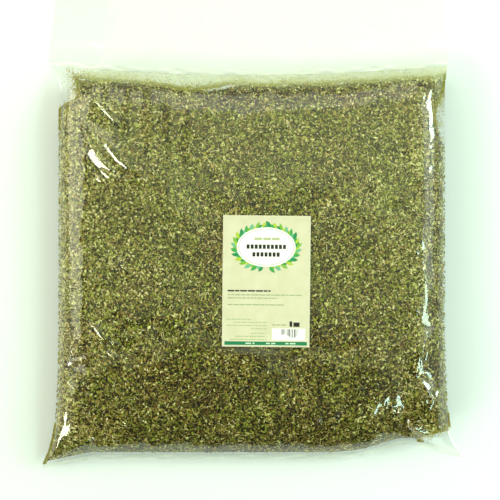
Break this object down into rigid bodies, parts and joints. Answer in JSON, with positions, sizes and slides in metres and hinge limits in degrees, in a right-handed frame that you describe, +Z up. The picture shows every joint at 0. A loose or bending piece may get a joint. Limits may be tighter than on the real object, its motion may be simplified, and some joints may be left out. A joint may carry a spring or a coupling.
{
  "type": "clear film bag of dried marjoram",
  "caption": "Flat-lying clear film bag filled with dried rubbed marjoram, welded at both ends, with an empty flap beyond the top weld and a paper label.",
  "frame": {"origin": "middle of the bag's bounding box, on the surface that the bag lies on", "axes": "+Z up, +Y from the bottom weld to the open mouth of the flap, +X to the right as seen from above"},
  "size_m": [0.4963, 0.5828, 0.0581],
  "materials": {
    "clear_film": "clear gloss",
    "dried_herb": "matt crumbs of dried leaf",
    "label_paper": "smooth satin"
  },
  "bodies": {
    "root": {"film_bag": "clear_film", "dried_marjoram": "dried_herb", "paper_label": "label_paper"}
  },
  "joints": []
}
